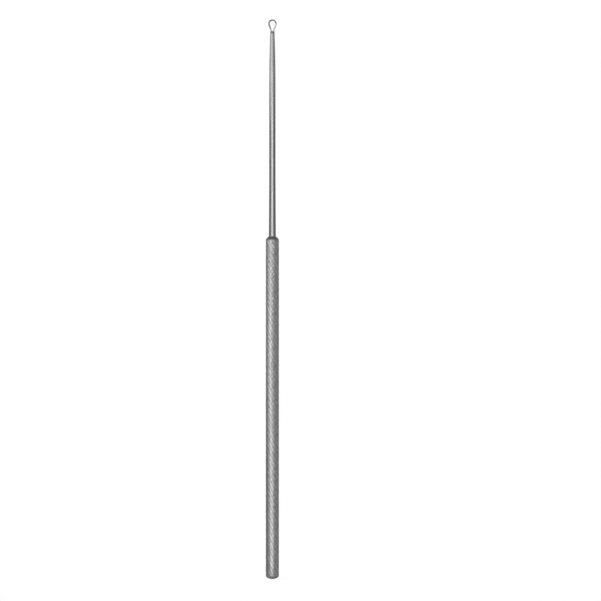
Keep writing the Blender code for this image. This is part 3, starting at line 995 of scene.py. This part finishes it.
def hidden_card(name, points, faces, radiance):
    """Make a glowing card that only reflections see."""
    piece = new_object(name, points, faces)
    material = blank_material(name)
    shader = Shader(material.node_tree)
    glow = shader.add("ShaderNodeEmission", {"Color": opaque((radiance,) * 3)})
    shader.add("ShaderNodeOutputMaterial", {"Surface": glow.outputs[0]})
    piece.data.materials.append(material)
    piece.visible_camera = False
    piece.visible_diffuse = False
    piece.visible_transmission = False
    piece.visible_shadow = False


def curved_card(name, reach, edges, radiance):
    """Sheet round the tool's axis at one reach, between two edges that may slant.

    At each height of the edges, the azimuth goes from the left edge to the right edge
    in equal steps.
    """
    height, left, right = np.array(edges).T[:, :, None]
    azimuths = np.radians(left + (right - left) * np.linspace(0, 1, CARD_STEPS))
    heights = np.broadcast_to(height, azimuths.shape)
    points = np.stack([reach * np.sin(azimuths), -reach * np.cos(azimuths), heights], axis=-1)
    index = np.arange(azimuths.size).reshape(azimuths.shape)
    hidden_card(name, points, open_quads(index).tolist(), radiance)


def round_card(name, height, radiance):
    """Round card at this height, above or below the tool."""
    points = turned(CARD_REACH, whole_turn(ROUND_CARD_STEPS), height)
    hidden_card(name, points, [list(range(ROUND_CARD_STEPS))], radiance)


def camera(s):
    """Long lens, level, as far off as the width of the picture asks for."""
    data = bpy.data.cameras.new("camera")
    data.lens = s.lens
    piece = bpy.data.objects.new("camera", data)
    distance = s.photo_width * s.lens / data.sensor_width
    piece.location = (s.camera_side, -distance, s.camera_height)
    piece.rotation_euler = (QUARTER_TURN, 0.0, 0.0)
    bpy.context.scene.collection.objects.link(piece)
    bpy.context.scene.camera = piece


# Add-on


class CURETTE_OT_handle(bpy.types.Operator):
    """Build the knurled handle in place of its plain solid"""

    bl_idname = "curette.handle"
    bl_label = "Knurled handle"

    def execute(self, context):
        build_handle(context.scene.curette_handle)
        return {"FINISHED"}


class CURETTE_OT_shank(bpy.types.Operator):
    """Build the polished shank with its slotted tip"""

    bl_idname = "curette.shank"
    bl_label = "Polished shank"

    def execute(self, context):
        build_shank(context.scene.curette_shank)
        return {"FINISHED"}


class CURETTE_OT_loop(bpy.types.Operator):
    """Build the wire loop and its two legs"""

    bl_idname = "curette.loop"
    bl_label = "Wire loop"

    def execute(self, context):
        build_loop(context.scene.curette_loop)
        return {"FINISHED"}


class CURETTE_OT_brazing(bpy.types.Operator):
    """Build the brazed joints at the neck and at the tip"""

    bl_idname = "curette.brazing"
    bl_label = "Brazed joints"

    def execute(self, context):
        scene = context.scene
        build_neck_braze(scene.curette_brazing, scene.curette_shank, scene.curette_handle)
        build_slot_fill(scene.curette_brazing, scene.curette_shank)
        build_tip_cap(scene.curette_brazing, scene.curette_shank, scene.curette_loop)
        return {"FINISHED"}


class CURETTE_OT_stage(bpy.types.Operator):
    """Set up the white surroundings, the floor, the cards, the diffusers and the camera"""

    bl_idname = "curette.stage"
    bl_label = "Stage"

    def execute(self, context):
        s = context.scene.curette_stage
        context.scene.view_settings.view_transform = "Standard"
        white_world(s)
        pale_floor(s)
        for name, left, right, grey in WALL_CARDS:
            edges = ((-CARD_HEIGHT, left, right), (CARD_HEIGHT, left, right))
            curved_card(name, CARD_REACH, edges, grey)
        round_card("top_card", CARD_HEIGHT, TOP_GREY)
        round_card("ground_card", -CARD_HEIGHT, GROUND_GREY)
        curved_card("upper_diffuser", FAR_REACH, UPPER_EDGES, s.upper_radiance)
        curved_card("lower_diffuser", NEAR_REACH, LOWER_EDGES, s.lower_radiance)
        curved_card("left_shade", NEAR_REACH, LEFT_SHADE_EDGES, s.left_shade)
        curved_card("right_shade", NEAR_REACH, RIGHT_SHADE_EDGES, s.right_shade)
        curved_card("back_diffuser", FAR_REACH, BACK_EDGES, s.back_radiance)
        curved_card("right_diffuser", FAR_REACH, RIGHT_EDGES, s.right_radiance)
        camera(s)
        return {"FINISHED"}


class CURETTE_PT_panel(bpy.types.Panel):
    """Lists the steps that build the curette"""

    bl_idname = "CURETTE_PT_panel"
    bl_label = "Ear curette"
    bl_space_type = "VIEW_3D"
    bl_region_type = "UI"
    bl_category = "Curette"

    def draw(self, context):
        for operator in OPERATORS:
            self.layout.operator(operator.bl_idname, text=operator.bl_label)


OPERATORS = (
    CURETTE_OT_handle, CURETTE_OT_shank, CURETTE_OT_loop, CURETTE_OT_brazing, CURETTE_OT_stage)
CLASSES = (*SETTINGS.values(), *OPERATORS, CURETTE_PT_panel)


def register():
    """Register the classes and hang the settings on the scene."""
    for kind in CLASSES:
        bpy.utils.register_class(kind)
    for name, kind in SETTINGS.items():
        setattr(bpy.types.Scene, name, PointerProperty(type=kind))


def unregister():
    """Take the settings and the classes away again."""
    for name in SETTINGS:
        delattr(bpy.types.Scene, name)
    for kind in reversed(CLASSES):
        bpy.utils.unregister_class(kind)


def main():
    """Build every piece and the stage."""
    register()
    bpy.ops.curette.handle()
    bpy.ops.curette.shank()
    bpy.ops.curette.loop()
    bpy.ops.curette.brazing()
    bpy.ops.curette.stage()


if __name__ == "__main__":
    main()
